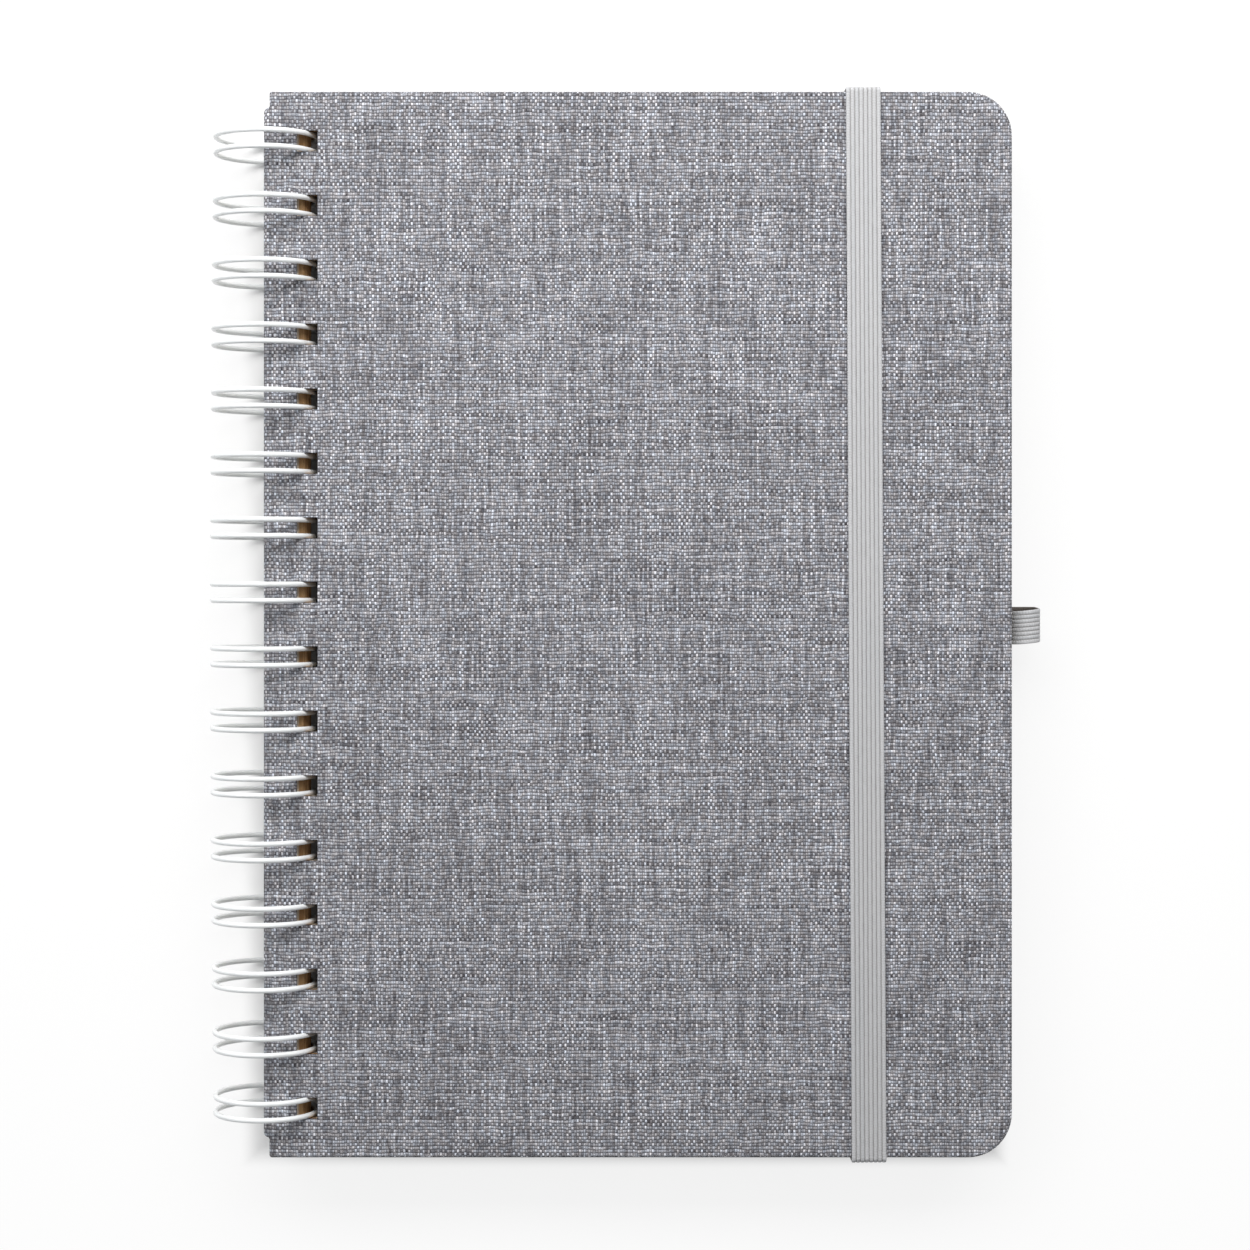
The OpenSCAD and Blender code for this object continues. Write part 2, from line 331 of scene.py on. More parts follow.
def heather_weave(s):
    """Plain weave: each yarn goes over one and under the next, and keeps its own light or dark. Its
    sides and the gaps between yarns carry painted shade.
    """
    flat = s.node("ShaderNodeAttribute", 1, {"attribute_name": "flat"})
    x, y, _ = s.parts(flat)
    sway = s.noise(flat, SWAYS_PER_METRE, 1.0)
    lean = s.noise(s.point(y, x, 0.4), SWAYS_PER_METRE, 1.0)
    u = x / WARP_PITCH + (sway - 0.5) * WARP_SWAY
    v = y / WEFT_PITCH + (lean - 0.5) * WEFT_SWAY
    warp, weft = u.floor(), v.floor()
    across, along = (u.fract() - 0.5) * 2.0, (v.fract() - 0.5) * 2.0
    warp_up = ((warp + weft) * 0.5).fract().over(0.25)
    warp_top = (1.0 - across * across) * warp_up.pick(YARN_BELOW, 1.0 - along * along * WARP_DIP)
    weft_top = (1.0 - along * along) * warp_up.pick(1.0 - across * across * WEFT_DIP, YARN_BELOW)
    height = warp_top.larger(weft_top)
    on_warp = warp_top.over(weft_top)
    warp_slow = s.noise(s.point(warp * 7.31, v * WARP_STREAK), 1.0)
    weft_slow = s.noise(s.point(u * WEFT_STREAK, weft * 9.17, 5.0), 1.0)
    warp_fast = s.noise(s.point(warp * 3.77, v * YARN_FLECK, 9.0), 1.0, 1.0)
    weft_fast = s.noise(s.point(u * YARN_FLECK, weft * 4.19, 2.0), 1.0, 1.0)
    warp_yarn = warp_slow * 0.6 + warp_fast * 0.42 + 0.025
    weft_yarn = weft_slow * 0.42 + weft_fast * 0.42 + 0.05
    yarn = on_warp.pick(weft_yarn, warp_yarn)
    patch = s.noise(s.point(x * PATCH_ACROSS, y * PATCH_ALONG), 1.0, 3.0)
    colour = (yarn + (patch - 0.5) * PATCH_DEPTH).ramp(YARN_TONES)
    dye = s.noise(s.point(u * DYE_SPOT, v * DYE_SPOT, 3.0), 1.0).between(0.35, 0.65)
    hue = dye.tint(WARM_DYE, COOL_DYE)
    colour = s.node("ShaderNodeMix", 2, {"data_type": "RGBA", "blend_type": "MULTIPLY"},
                    i0=1.0, i6=colour, i7=hue)
    # Painted shade: each yarn darkens towards its sides and is near black in the gaps between
    # yarns.
    warp_edge = (along * along * 0.85).larger(across * across * 0.85)
    weft_edge = (along * along).larger(across * across * 0.5)
    edge = on_warp.pick(weft_edge, warp_edge).between(0.15, 0.95)
    colour = (edge * GAP_DEPTH).tint(colour, SHADE_BETWEEN_YARNS)
    return colour, height * -0.1 + 0.92, height * 0.7 + yarn * 0.5, WEAVE_RELIEF


cloth = material("heather cloth", heather_weave, Sheen_Weight=0.12, Sheen_Roughness=0.5,
                 Specular_IOR_Level=0.25)


def cloth_skin(name, outer, inner, slots):
    """The cloth on a board, from its outer face round the edges to the border of the lining."""
    down = 1 if outer > inner else -1
    outline = leaf_outline(COVER_LEFT + FOLD_OUT, COVER_RIGHT, COVER_HALF,
                           COVER_CORNER, COVER_SPINE_CORNER)
    wrap = Wrap()
    rounded = quarter(CLOTH_EDGE_R, 5)
    turn = rounded[-1][2]
    wall = turn + COVER_THICK - 2 * CLOTH_EDGE_R
    rings = [wrap.ring(outline, outer, -CLOTH_EDGE_R)]
    for inset, drop, length in rounded[1:]:
        rings.append(wrap.ring(outline, outer - down * drop, -inset,
                               CLOTH_EDGE_R + length, lie=-CLOTH_EDGE_R))
    for inset, drop, length in reversed(rounded):
        rings.append(wrap.ring(outline, inner + down * drop, -inset,
                               CLOTH_EDGE_R + wall + turn - length, lie=-CLOTH_EDGE_R))
    for upper, lower in zip(rings, rings[1:]):
        wrap.strip(upper, lower)
    lining_edge = leaf_outline(LINING_LEFT, LINING_RIGHT, LINING_HALF,
                               LINING_CORNER, LINING_SPINE_CORNER)
    wrap.flat_face([rings[-1], wrap.ring(lining_edge, inner, along=2 * wall)], up=down < 0)
    tops = [rings[0]]
    for hole in punched_row() + slots:
        around = [wrap.ring(hole, outer - down * drop, inset, -length)
                  for inset, drop, length in quarter(LIP_R, 3) + [(0.0, LIP_DEPTH, LIP_LENGTH)]]
        for upper, lower in zip(around, around[1:]):
            wrap.strip(lower, upper)
        tops.append(around[0])
    wrap.flat_face(tops, up=down > 0)
    made = wrap.finish(name, cloth)
    if down < 0:
        for face in made.data.polygons:
            face.flip()
    return made


def spine_fold(name, middle):
    """The soft roll of doubled cloth along the spine, flattened near the head and the tail."""
    mesh = bmesh.new()
    flat = mesh.verts.layers.float_vector.new("flat")
    low, high = -COVER_HALF + FOLD_TAIL_GAP, COVER_HALF - FOLD_HEAD_GAP
    stations = [(low + FOLD_R * (1 - math.cos(t)), math.sin(t)) for t in FOLD_DOME]
    stations += [(low + (high - low) * i / FOLD_LENGTHS, 1.0) for i in range(1, FOLD_LENGTHS)]
    stations += [(high - FOLD_R * (1 - math.cos(t)), math.sin(t)) for t in reversed(FOLD_DOME)]
    half_turn = [math.pi / 2 + math.pi * i / FOLD_FACETS for i in range(FOLD_FACETS + 1)]
    grid = []
    for y, swell in stations:
        row = [(FOLD_TUCK, FOLD_R, FOLD_TUCK)]
        for t in half_turn:
            rise = 1 if t in (half_turn[0], half_turn[-1]) else swell
            row.append((FOLD_R * (1 + math.cos(t) * swell), math.sin(t) * FOLD_R * rise,
                        FOLD_R * (1.0 - (t - math.pi / 2))))
        row.append((FOLD_TUCK, -FOLD_R, FOLD_TUCK))
        grid.append([])
        for x, z, length in row:
            vert = mesh.verts.new(Vector((COVER_LEFT + x, y, middle + z)) * MM)
            vert[flat] = Vector((COVER_LEFT + length, y, 0)) * MM
            grid[-1].append(vert)
    for one, two in zip(grid, grid[1:]):
        for i in range(len(one) - 1):
            mesh.faces.new((one[i], one[i + 1], two[i + 1], two[i])).smooth = True
    for row in (grid[0], grid[-1]):
        mesh.faces.new(row)
    bmesh.ops.recalc_face_normals(mesh, faces=mesh.faces)
    return as_object(mesh, name, cloth)


def cover_cloth(name, body, replaced, outer, inner, slots):
    """One cover's cloth, between the heights of its outer and its inner face."""
    skin = cloth_skin(name, outer, inner, slots)
    roll = spine_fold(name + "_fold", (outer + inner) / 2)
    thick = skin.modifiers.new("thickness", "SOLIDIFY")
    thick.thickness, thick.offset = CLOTH_THICK * MM, -1.0
    bake_down(skin)
    for piece in (skin, roll):
        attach(piece, body)
        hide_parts(replaced)


cover_cloth("cloth_front", "front_cover", "front_cloth", FRONT_OUTER, FRONT_INNER, [])
cover_cloth("cloth_back", "back_cover", "back_cloth", BACK_OUTER, BACK_INNER,
            [slot_cut(SLOT_Y), slot_cut(-SLOT_Y)])

# Lining paper, off-white and smooth, glued over the inside of each cover. It hides the board
# and the glued edges of the cloth, and a border of turned-in cloth stays bare round it.
LINING_COLOUR = (0.84, 0.83, 0.80)
PAPER_RELIEF = 0.03 * MM


def smooth_paper(s, colour):
    """Uncoated paper of this colour, with fine fibres and a faint cloudiness."""
    place = s.place()
    fibre = s.noise(place, 2600.0, 2.0, 0.6)
    cloud = s.noise(place, 60.0)
    mix = (fibre * 0.5 + cloud * 0.5).between(0.25, 0.75)
    dim = tuple(0.93 * part for part in colour)
    return mix.tint(dim, colour), mix * 0.08 + 0.8, fibre, PAPER_RELIEF


dress(("front_lining", "back_lining"),
      material("lining paper", lambda s: smooth_paper(s, LINING_COLOUR), Specular_IOR_Level=0.3))

# Block of loose sheets of uncoated cream paper, punched like the covers. Each leaf here stands
# for two sheets, laid a hair out of line with its neighbours. The middle ones stand further
# from the spine, as the round wire holds them. The rims of the holes carry painted shade,
# brown on the near side and dark brown on the far walls.
LEAVES, BLOCK_THICK = 35, 7.0
SHEET_LEFT, SHEET_RIGHT, SHEET_HALF = COVER_LEFT + 1.9, COVER_RIGHT - 3.8, COVER_HALF - 2.6
SHEET_CORNER, SHEET_SPINE_CORNER = 6.2, 0.15
SHEET_HOLE_SHIFT, SHEET_SLIP, SHEET_BELLY = 1.2, 0.09, 1.0
LEAF_GAP = 0.012
HOLE_LONG = HOLE_RIGHT - HOLE_LEFT
SHEET_COLOUR = (0.85, 0.80, 0.69)
# Where the painted shade lies in the holes, and its colours: brown rims, darker far walls.
RIM_FROM, RIM_TO, ROW_FROM, ROW_TO = 0.7, 1.2, 0.19 * PITCH, 0.215 * PITCH
WALL_FROM, WALL_TO, FAR_SIDE_FROM, FAR_SIDE_TO = 0.14, 0.32, 1.4, 2.2
RIM_SHADE_DARK, RIM_SHADE_LIGHT, FAR_WALL_SHADE = (0.30, 0.165, 0.07), (0.56, 0.36, 0.185), (0.11, 0.062, 0.03)


def stacked_paper(s):
    """Writing paper, with painted shade in the holes: brown at their near rim, dark brown on their
    far walls.
    """
    colour, rough, fibre, depth = smooth_paper(s, SHEET_COLOUR)
    x, y, z = s.parts(s.place())
    level = (z - BACK_INNER * MM) / (BLOCK_THICK * MM)
    belly = 4.0 * SHEET_BELLY * level * (1.0 - level)
    cut = HOLE_LEFT + SHEET_HOLE_SHIFT + belly
    # Painted shade: brown along the near rim of each hole, with a grain of page edges.
    near = 1.0 - (x / MM - cut).unsigned().between(RIM_FROM, RIM_TO)
    from_hole = ((y / (PITCH * MM)).fract() - 0.5).unsigned() * PITCH
    in_row = 1.0 - from_hole.between(ROW_FROM, ROW_TO)
    beside = (x / MM - cut - HOLE_LONG / 2).unsigned() - HOLE_LONG / 2
    wall = 1.0 - beside.larger(from_hole - HOLE_HALF).between(WALL_FROM, WALL_TO)
    leaf = (level * LEAVES).floor()
    grain = s.noise(s.point(leaf * 5.3, y * 90.0), 1.0).between(0.35, 0.65)
    rim_shaded = (near * in_row).tint(colour, grain.tint(RIM_SHADE_DARK, RIM_SHADE_LIGHT))
    # Painted shade: the far walls of each hole are dark brown.
    far_side = (x / MM - cut).between(FAR_SIDE_FROM, FAR_SIDE_TO)
    return (wall * far_side).tint(rim_shaded, FAR_WALL_SHADE), rough, fibre, depth


sheet_paper = material("sheet paper", stacked_paper, Specular_IOR_Level=0.25)


def tree_with(name, inputs):
    """An empty geometry tree with a geometry in and out and these named inputs."""
    tree = bpy.data.node_groups.new(name, "GeometryNodeTree")
    tree.interface.new_socket("Geometry", in_out="INPUT", socket_type="NodeSocketGeometry")
    tree.interface.new_socket("Geometry", in_out="OUTPUT", socket_type="NodeSocketGeometry")
    for title, kind, value in inputs:
        made = tree.interface.new_socket(title, in_out="INPUT", socket_type=kind)
        if value is not None:
            made.default_value = value
    return tree, tree.nodes.new("NodeGroupInput").outputs, tree.nodes.new("NodeGroupOutput").inputs


def add_node(tree, kind, settings=None, **sockets):
    """Adds a geometry node, with its settings and what its sockets take, and gives its output."""
    made = tree.nodes.new(kind)
    for name, value in (settings or {}).items():
        setattr(made, name, value)
    for name, value in sockets.items():
        target = made.inputs[int(name[1:]) if name[1:].isdigit() else name.replace("_", " ")]
        if isinstance(value, bpy.types.NodeSocket):
            tree.links.new(value, target)
        else:
            target.default_value = value
    return made.outputs[0]


def worked_out(tree, operation, first, second):
    """A sum on two numbers or sockets."""
    return add_node(tree, "ShaderNodeMath", {"operation": operation}, i0=first, i1=second)


def grow(made, tree, values):
    """Runs a tree on an object, with its named inputs set, and makes the result a plain mesh."""
    modifier = made.modifiers.new(tree.name, "NODES")
    modifier.node_group = tree
    for item in tree.interface.items_tree:
        if item.item_type == "SOCKET" and item.in_out == "INPUT" and item.name in values:
            modifier[item.identifier] = values[item.name]
    bake_down(made)


def punched_leaf(name, thick, low):
    """The lowest leaf of the block, with its row of holes."""
    wrap = Wrap()
    outline = leaf_outline(SHEET_LEFT, SHEET_RIGHT, SHEET_HALF, SHEET_CORNER, SHEET_SPINE_CORNER)
    rings = [[wrap.ring(edge, z) for z in (low + thick, low)]
             for edge in [outline] + punched_row(SHEET_HOLE_SHIFT)]
    for upper, lower in rings:
        wrap.strip(upper, lower, smooth=False)
    wrap.flat_face([upper for upper, _ in rings], up=True)
    wrap.flat_face([lower for _, lower in rings], up=False)
    bmesh.ops.recalc_face_normals(wrap.mesh, faces=wrap.mesh.faces)
    return wrap.finish(name, sheet_paper)


stack, given, result = tree_with("sheet stack", [
    ("Leaves", "NodeSocketInt", LEAVES), ("Step", "NodeSocketFloat", BLOCK_THICK / LEAVES * MM),
    ("Slip", "NodeSocketFloat", SHEET_SLIP * MM), ("Belly", "NodeSocketFloat", SHEET_BELLY * MM),
    ("Seed", "NodeSocketInt", 7), ("Paper", "NodeSocketMaterial", None)])
rise = add_node(stack, "ShaderNodeCombineXYZ", Z=given["Step"])
line = add_node(stack, "GeometryNodeMeshLine", Count=given["Leaves"], Offset=rise)
laid = add_node(stack, "GeometryNodeInstanceOnPoints", Points=line, Instance=given["Geometry"])
less = worked_out(stack, "MULTIPLY", given["Slip"], -1.0)
least = add_node(stack, "ShaderNodeCombineXYZ", X=less, Y=less)
most = add_node(stack, "ShaderNodeCombineXYZ", X=given["Slip"], Y=given["Slip"])
slip = add_node(stack, "FunctionNodeRandomValue", {"data_type": "FLOAT_VECTOR"},
                i0=least, i1=most, Seed=given["Seed"])
slipped = add_node(stack, "GeometryNodeTranslateInstances", Instances=laid, Translation=slip)
nth = add_node(stack, "GeometryNodeInputIndex")
share = add_node(stack, "ShaderNodeMapRange", i0=nth, i1=0.0, i2=LEAVES - 1.0, i3=-1.0, i4=1.0)
belly = worked_out(stack, "SUBTRACT", 1.0, worked_out(stack, "MULTIPLY", share, share))
further = worked_out(stack, "MULTIPLY", belly, given["Belly"])
bow = add_node(stack, "ShaderNodeCombineXYZ", X=further)
bowed = add_node(stack, "GeometryNodeTranslateInstances", Instances=slipped, Translation=bow)
real = add_node(stack, "GeometryNodeRealizeInstances", i0=bowed)
dressed = add_node(stack, "GeometryNodeSetMaterial", Geometry=real, Material=given["Paper"])
stack.links.new(dressed, result[0])
sheets = punched_leaf("sheets", BLOCK_THICK / LEAVES - LEAF_GAP, BACK_INNER + LEAF_GAP / 2)
grow(sheets, stack, {"Leaves": LEAVES, "Paper": sheet_paper})
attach(sheets, "pages")
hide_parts("page_block")

# One long steel wire, white nylon coated, bent into sixteen twin loops and closed by machine
# after the sheets and covers are hung on it. It is closed under the back cover.
WIRE_D, LOOP_R, WIRES_APART = 1.05, 10.05, 3.2
ROOT_BEND_R, SEAM_GAP, SEAM_ANGLE = 1.6, 0.45, 57
HALF_APART = WIRES_APART / 2
ROOT_AT = math.radians(-SEAM_ANGLE) + math.asin(ROOT_BEND_R / LOOP_R)
TIP_AT = (math.radians(360 - SEAM_ANGLE) - math.asin((WIRE_D + SEAM_GAP) / LOOP_R)
          - math.asin(HALF_APART / LOOP_R))
LOOP_STEPS, TIP_STEPS, BEND_STEPS, WIRE_SIDES = 56, 10, 8, 14
BOW_AT_ENDS, BOW = 0.35, 0.65
COATING_FRESH, COATING_WORN = (0.86, 0.88, 0.885), (0.78, 0.79, 0.79)
COATING_RELIEF = 0.01 * MM


def bow_at(y):
    """The comb of a book that has been handled: its middle loops stand a little further out."""
    share = 2 * y / ((LOOPS - 1) * PITCH)
    return BOW_AT_ENDS - BOW * (1 - min(1.0, share * share))


def on_loop(angle, y, ahead=0.0):
    """A point on the loops, from its angle, its place along the spine and how far it is ahead."""
    return Vector((AXIS_X + bow_at(y) + LOOP_R * math.cos(angle) - ahead * math.sin(angle), y,
                   AXIS_Z + LOOP_R * math.sin(angle) + ahead * math.cos(angle))) * MM


def comb_path():
    """The whole bent wire: up one side of a loop, round its tip, back, and over to the next."""
    turns = [ROOT_AT + (TIP_AT - ROOT_AT) * i / LOOP_STEPS for i in range(LOOP_STEPS + 1)]
    tip = [math.pi * i / TIP_STEPS for i in range(1, TIP_STEPS)]
    bend = [math.pi / 2 * i / BEND_STEPS for i in range(1, BEND_STEPS + 1)]
    path = []
    for k in range(LOOPS):
        first, second = loop_y(k) - HALF_APART, loop_y(k) + HALF_APART
        path += [on_loop(a, first) for a in turns]
        path += [on_loop(TIP_AT, loop_y(k) - HALF_APART * math.cos(t), HALF_APART * math.sin(t))
                 for t in tip]
        path += [on_loop(a, second) for a in reversed(turns)]
        if k < LOOPS - 1:
            following = second + PITCH - WIRES_APART
            path += [on_loop(ROOT_AT, second + ROOT_BEND_R * (1 - math.cos(t)),
                             -ROOT_BEND_R * math.sin(t)) for t in bend]
            path += [on_loop(ROOT_AT, following - ROOT_BEND_R * (1 - math.cos(t)),
                             -ROOT_BEND_R * math.sin(t)) for t in reversed(bend)]
    return path


def coated(s):
    """Smooth satin coating, a little dulled where it has been handled."""
    place = s.place()
    skin = s.noise(place, 900.0)
    wear = s.noise(place, 160.0, 3.0).between(0.55, 0.8)
    return wear.tint(COATING_FRESH, COATING_WORN), skin * 0.12 + 0.24, skin, COATING_RELIEF


nylon = material("white nylon", coated, Coat_Weight=0.25, Coat_Roughness=0.15)
bends = comb_path()
bent_line = bpy.data.meshes.new("comb")
bent_line.from_pydata(bends, [(i, i + 1) for i in range(len(bends) - 1)], [])
comb = bpy.data.objects.new("comb", bent_line)
bpy.context.scene.collection.objects.link(comb)
drawn, given, result = tree_with("drawn wire", [
    ("Wire Diameter", "NodeSocketFloat", WIRE_D * MM), ("Sides", "NodeSocketInt", WIRE_SIDES),
    ("Coating", "NodeSocketMaterial", None)])
path = add_node(drawn, "GeometryNodeMeshToCurve", i0=given["Geometry"])
section = add_node(drawn, "GeometryNodeCurvePrimitiveCircle", Resolution=given["Sides"],
                   Radius=worked_out(drawn, "MULTIPLY", given["Wire Diameter"], 0.5))
tube = add_node(drawn, "GeometryNodeCurveToMesh", Curve=path, Profile_Curve=section, Fill_Caps=True)
smooth = add_node(drawn, "GeometryNodeSetShadeSmooth", i0=tube)
dressed = add_node(drawn, "GeometryNodeSetMaterial", Geometry=smooth, Material=given["Coating"])
real = add_node(drawn, "GeometryNodeRealizeInstances", i0=dressed)
drawn.links.new(real, result[0])
grow(comb, drawn, {"Wire Diameter": WIRE_D * MM, "Coating": nylon})
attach(comb, "back_cover")
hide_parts("wire_comb")

# Elastic strap that holds the book closed: covered rubber threads braided side by side into a
# flat ribbed band. Its two ends go through slots in the back cover and are glued inside it.
RIBS, RIB_FACETS = 8, 6
STRAP_W, STRAP_T, STRAP_GROOVE, STRAP_TURN_R = 6.8, 0.9, 0.2, 0.62
STRAP_PLAY, STRAP_SLOT, STRAP_END, STRAP_GLUED = 0.05, 91.0, 12.0, -3.7
STITCH, BRAID_RELIEF = 0.52 * MM, 0.1 * MM
# Tones from the painted shade in the grooves to the tops of the ribs.
ELASTIC_TONES = [(0.08, (0.14, 0.135, 0.13)), (0.35, (0.33, 0.325, 0.325)),
                 (0.8, (0.525, 0.528, 0.54))]
# A pale wash that differs at random, and the painted shade of the inner side.
PALE_WASH, INNER_SIDE_SHADE = (0.80, 0.86, 0.90), (0.115, 0.10, 0.09)


def braided(s):
    """Ribs of small stitches, with painted shade in the grooves between the ribs, at the ends of
    each stitch and on the inner side.
    """
    x, y, inside = s.parts(s.node("ShaderNodeAttribute", 1, {"attribute_name": "flat"}))
    rib = s.node("ShaderNodeAttribute", 2, {"attribute_name": "rib"})
    number = rib.floor()
    stitch = (y / STITCH + number * 0.5).fract() * 2.0 - 1.0
    bead = 1.0 - stitch * stitch
    ridge = (rib.fract() - 0.5) * 2.0
    rim = (0.5 - rib).over(0.0).larger(rib.over(RIBS - 0.5))
    crown = (1.0 - ridge * ridge).larger(rim)
    fuzz = s.noise(s.point(number * 3.7, y * 700.0, x * 2500.0), 1.0, 3.0)
    shift = s.noise(s.point(number * 5.3, y * 25.0), 1.0, 1.0)
    # Painted shade: the grooves between ribs and the ends of each stitch are darker.
    tone = crown.between(0.0, 0.75) * 0.55 + bead * 0.16 + fuzz * 0.29
    colour = tone.ramp(ELASTIC_TONES)
    pale = (0.25 * shift).tint(colour, PALE_WASH, "MULTIPLY")
    colour = shift.between(0.4, 0.7).tint(colour, pale)
    # Painted shade on the inner side of the band.
    colour = inside.between(0.3, 0.7).tint(colour, INNER_SIDE_SHADE)
    return colour, fuzz * 0.1 + 0.8, crown * 0.6 + bead * 0.3 + fuzz * 0.2, BRAID_RELIEF


elastic = material("braided elastic", braided, Sheen_Weight=0.1, Specular_IOR_Level=0.2)


def rounded_path(corners, radius, steps=7):
    """Straight runs between corners, with each corner turned on a radius."""
    path = [Vector(corners[0])]
    for a, b, c in zip(corners, corners[1:], corners[2:]):
        a, b, c = Vector(a), Vector(b), Vector(c)
        back, ahead = (a - b).normalized(), (c - b).normalized()
        half_turn = (math.pi - back.angle(ahead)) / 2
        reach = radius * math.tan(half_turn)
        first, last = b + back * reach, b + ahead * reach
        centre = b + (back + ahead).normalized() * (radius / math.cos(half_turn))
        for i in range(steps + 1):
            arm = (first - centre).lerp(last - centre, i / steps).normalized() * radius
            path.append(centre + arm)
    path.append(Vector(corners[-1]))
    return path


def rib_section(thick, groove):
    """Points round a ribbed band, as (ribs from its first edge, height over its middle)."""
    section = []
    for side in (1, -1):
        for i in range(RIBS * RIB_FACETS + 1):
            at = i / RIB_FACETS if side > 0 else RIBS - i / RIB_FACETS
            swell = math.sqrt(max(0.0, 1 - (2 * (at % 1) - 1) ** 2)) if at % 1 else 0.0
            section.append((at, side * thick * (0.5 - groove + groove * swell)))
    return section


def ribbed_band(name, path, width, thick, groove, seat):
    """A ribbed band swept along a path of (along, up) points, which seat puts in its place."""
    mesh = bmesh.new()
    flat = mesh.verts.layers.float_vector.new("flat")
    rib = mesh.verts.layers.float.new("rib")
    section = rib_section(thick, groove)
    rows, length = [], 0.0
    for n, here in enumerate(path):
        before, after = path[max(0, n - 1)], path[min(len(path) - 1, n + 1)]
        ahead = (after - before).normalized()
        up = Vector((-ahead.y, ahead.x))
        length += (here - before).length
        row = []
        for at, high in section:
            side, share = (at / RIBS - 0.5) * width, n / (len(path) - 1)
            vert = mesh.verts.new(seat(here + up * high, side, share) * MM)
            # The third number of flat marks the inner side, which the elastic's material darkens as
            # painted shade.
            vert[flat] = Vector((at * width / RIBS * MM, length * MM, 0 if high > 0 else 1))
            vert[rib] = min(at, RIBS - 0.001)
            row.append(vert)
        rows.append(row)
    for one, two in zip(rows, rows[1:]):
        for i in range(len(one)):
            j = (i + 1) % len(one)
            mesh.faces.new((one[i], one[j], two[j], two[i])).smooth = True
    for row in (rows[0], rows[-1]):
        mesh.faces.new(row)
    bmesh.ops.recalc_face_normals(mesh, faces=mesh.faces)
    return as_object(mesh, name, elastic)


def strap_corners(sign):
    """Corners of the strap from its glued end, through its slot, to the top of one edge."""
    mid = STRAP_T / 2
    edge = sign * (COVER_HALF + STRAP_PLAY + mid)
    return [(sign * (STRAP_SLOT - STRAP_END), STRAP_GLUED - mid),
            (sign * (STRAP_SLOT + mid), STRAP_GLUED - mid),
            (sign * (STRAP_SLOT + mid), -HALF_STACK - mid),
            (edge, -HALF_STACK - mid), (edge, HALF_STACK + mid)]


def strap_seat(at, side, _):
    """The strap leans a little, with its head end nearer the spine."""
    cos, sin = math.cos(STRAP_SLANT), math.sin(STRAP_SLANT)
    return Vector((STRAP_X + side * cos - at.x * sin, side * sin + at.x * cos, AXIS_Z + at.y))


strap = ribbed_band("strap", rounded_path(strap_corners(-1) + strap_corners(1)[::-1], STRAP_TURN_R),
                    STRAP_W, STRAP_T, STRAP_GROOVE, strap_seat)
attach(strap, "back_cover")
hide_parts("elastic_strap")
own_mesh(strap)

# Loop for a pen at the fore edge, of a narrower piece of the same ribbed elastic. It stands up
# beside the covers, and its two ends are glued together between the back board and its lining.
PEN_W, PEN_T, PEN_R, PEN_GROOVE = 6.6, 0.6, 3.15, 0.13
PEN_X, PEN_RING = COVER_RIGHT + 0.2 + PEN_R, PEN_R - PEN_T / 2
PEN_LEFT, PEN_RIGHT = PEN_X - PEN_RING, PEN_X + PEN_RING
PEN_UPPER_END, PEN_LOWER_END, PEN_GLUED, PEN_BEND_R = -4.0, -4.6, 9.0, 0.42
PEN_TOP, PEN_LOW, PEN_STRAIGHT, PEN_AT_EDGE = -0.6, -2.8, -1.7, 0.4
PEN_SKEW, PEN_SKEW_FROM, PEN_SKEW_OVER, PEN_TO_TAIL = 0.8, 0.35, 0.4, 0.7


def pen_outline():
    """The loop seen from the tail: out from its upper end, round the pen and back below."""
    bend = [math.pi / 2 * i / 5 for i in range(6)]
    over = [math.pi * i / 20 for i in range(21)]
    under = [math.radians(degrees) for degrees in range(0, 100, 9)]
    path = [(COVER_RIGHT - PEN_GLUED, PEN_UPPER_END), (COVER_RIGHT - PEN_AT_EDGE, PEN_UPPER_END)]
    path += [(PEN_LEFT - PEN_BEND_R * (1 - math.sin(t)),
              PEN_UPPER_END + PEN_BEND_R * (1 - math.cos(t))) for t in bend]
    path += [(PEN_LEFT, PEN_LOW), (PEN_LEFT, PEN_STRAIGHT)]
    path += [(PEN_X - PEN_RING * math.cos(t), PEN_TOP + PEN_RING * math.sin(t)) for t in over]
    path += [(PEN_RIGHT, PEN_STRAIGHT)]
    path += [(PEN_X + PEN_RING * math.cos(t), PEN_LOW - PEN_RING * math.sin(t)) for t in under]
    path += [(PEN_LEFT + 1.1, -5.15), (PEN_LEFT + 0.2, -4.75),
             (COVER_RIGHT - PEN_AT_EDGE, PEN_LOWER_END), (COVER_RIGHT - PEN_GLUED, PEN_LOWER_END)]
    return [Vector(point) for point in path]


def pen_seat(at, side, share):
    """The far half of the loop is drawn a little toward the head, so that its mouth shows."""
    skew = PEN_SKEW * min(1.0, max(0.0, (share - PEN_SKEW_FROM) / PEN_SKEW_OVER))
    return Vector((at.x, side + skew - PEN_TO_TAIL, AXIS_Z + at.y))


loop = ribbed_band("pen_holder", pen_outline(), PEN_W, PEN_T, PEN_GROOVE, pen_seat)
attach(loop, "back_cover")
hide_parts("pen_loop")

# Plain white table that the notebook lies on. It shows as white as the backdrop, but keeps a
# faint shadow. A painted glow lifts it away from the book, and painted shade darkens it under
# the book, where it is seen through the punched holes.
# The table's tone for light, its tone as shown, and the painted shade under the book.
TABLE_LIT, TABLE_SHOWN, TABLE_SHADE_UNDER = (0.80, 0.80, 0.80), (0.985, 0.985, 0.985), (0.35, 0.33, 0.31)
BOOK_X, BOOK_Y, UNDER_X, UNDER_Y = 72.5 * MM, 105.0 * MM, 69.0 * MM, 100.0 * MM
GLOW_NEAR, GLOW_FAR, FAR_FROM, FAR_TO = 0.84, 0.16, 200.0 * MM, 1200.0 * MM


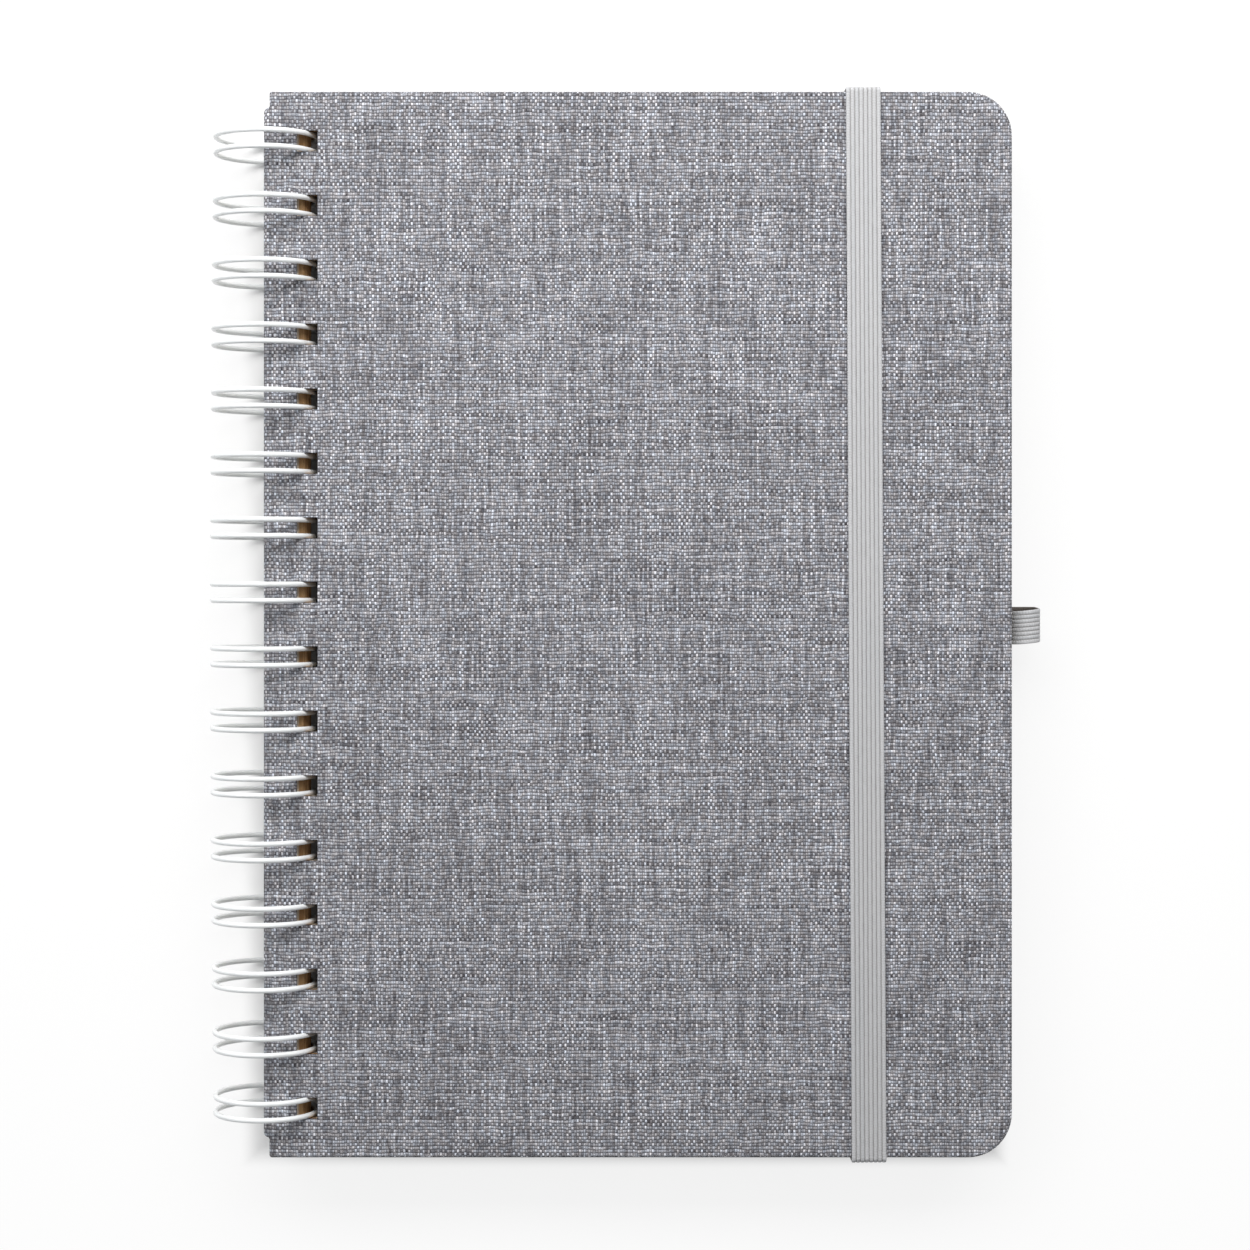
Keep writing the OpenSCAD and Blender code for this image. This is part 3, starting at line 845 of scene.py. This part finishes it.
def shown_rays(s):
    """1 for a ray that shows the surroundings themselves, and 0 for one that lights the book."""
    rays = s.node("ShaderNodeLightPath").plug.node.outputs
    seen, glossy, through = [Socket(s.tree, rays[name]) for name in
                             ("Is Camera Ray", "Is Glossy Ray", "Is Transmission Ray")]
    return seen.larger(glossy).larger(through)


def plain_table(made):
    """Painted light and shade: a glow lifts it a little away from the book, so that its shadow
    there stays faint, and it is darker under the book.
    """
    made.use_nodes = True
    tree = made.node_tree
    s = Socket(tree)
    x, y, _ = [part.unsigned() for part in s.parts(s.place())]
    away = (x - BOOK_X).larger(y - BOOK_Y).between(0.0, 6.0 * MM)
    far = x.larger(y).between(FAR_FROM, FAR_TO)
    # Painted shade: the table is darker under the book, where it shows through the punched holes.
    beyond = (x - UNDER_X).larger(y - UNDER_Y).between(0.0, 3.0 * MM)
    shown = shown_rays(s)
    shader = tree.nodes["Principled BSDF"]
    shader.inputs["Roughness"].default_value = 0.9
    shader.inputs["Specular IOR Level"].default_value = 0.0
    tone = shown.tint(TABLE_LIT, beyond.tint(TABLE_SHADE_UNDER, TABLE_SHOWN))
    tree.links.new(tone.plug, shader.inputs["Base Color"])
    glow = s.node("ShaderNodeEmission", Color=(1, 1, 1, 1), Strength=1.0)
    mixed = s.node("ShaderNodeMixShader", i0=shown * (away * GLOW_NEAR + far * GLOW_FAR),
                   i1=Socket(tree, shader.outputs[0]), i2=glow)
    tree.links.new(mixed.plug, tree.nodes["Material Output"].inputs["Surface"])


bpy.ops.mesh.primitive_plane_add(size=8.0, location=(0, 0, 0))
table = bpy.context.object
table.name = "table"
white_table = bpy.data.materials.new("white table")
plain_table(white_table)
table.data.materials.append(white_table)

# Soft daylight studio, seen from straight above: a white room, a wide lamp beyond the head of
# the book and a weaker one to its left. Places, sizes and lengths are in metres here.
SKY_COLOUR, SKY_LIGHT, SKY_SHOWN = (0.97, 0.985, 1.0, 1), 0.265, 1.0
CAMERA_AT, CAMERA_LENS, CAMERA_SHIFT = (0.0, 0.0072, 0.5264), 74.6, -0.0296

world = bpy.data.worlds.new("studio")
bpy.context.scene.world = world
world.use_nodes = True
sky = world.node_tree.nodes["Background"]
sky.inputs["Color"].default_value = SKY_COLOUR
strength = shown_rays(Socket(world.node_tree)).pick(SKY_LIGHT, SKY_SHOWN)
world.node_tree.links.new(strength.plug, sky.inputs["Strength"])


def soft_box(name, place, aim, width, height, watts, colour):
    """A flat lamp with a soft light, turned toward a point."""
    lamp = bpy.data.lights.new(name, "AREA")
    lamp.shape, lamp.size, lamp.size_y = "RECTANGLE", width, height
    lamp.energy, lamp.color = watts, colour
    made = bpy.data.objects.new(name, lamp)
    made.location = place
    made.rotation_euler = (Vector(aim) - Vector(place)).to_track_quat("-Z", "Y").to_euler()
    bpy.context.scene.collection.objects.link(made)


soft_box("head light", (0.0, 0.42, 0.44), (0.0, 0.06, 0.0), 1.0, 0.3, 5.8, (1.0, 0.99, 0.98))
soft_box("side light", (-1.1, 0.3, 1.0), (0.0, 0.0, 0.0), 0.8, 0.8, 3.5, (0.98, 0.99, 1.0))

lens = bpy.data.cameras.new("camera")
lens.sensor_width, lens.lens, lens.shift_y = 36.0, CAMERA_LENS, CAMERA_SHIFT
lens.clip_start, lens.clip_end = 0.01, 20.0
camera = bpy.data.objects.new("camera", lens)
camera.location = CAMERA_AT
bpy.context.scene.collection.objects.link(camera)
bpy.context.scene.camera = camera
bpy.context.scene.view_settings.view_transform = "Standard"
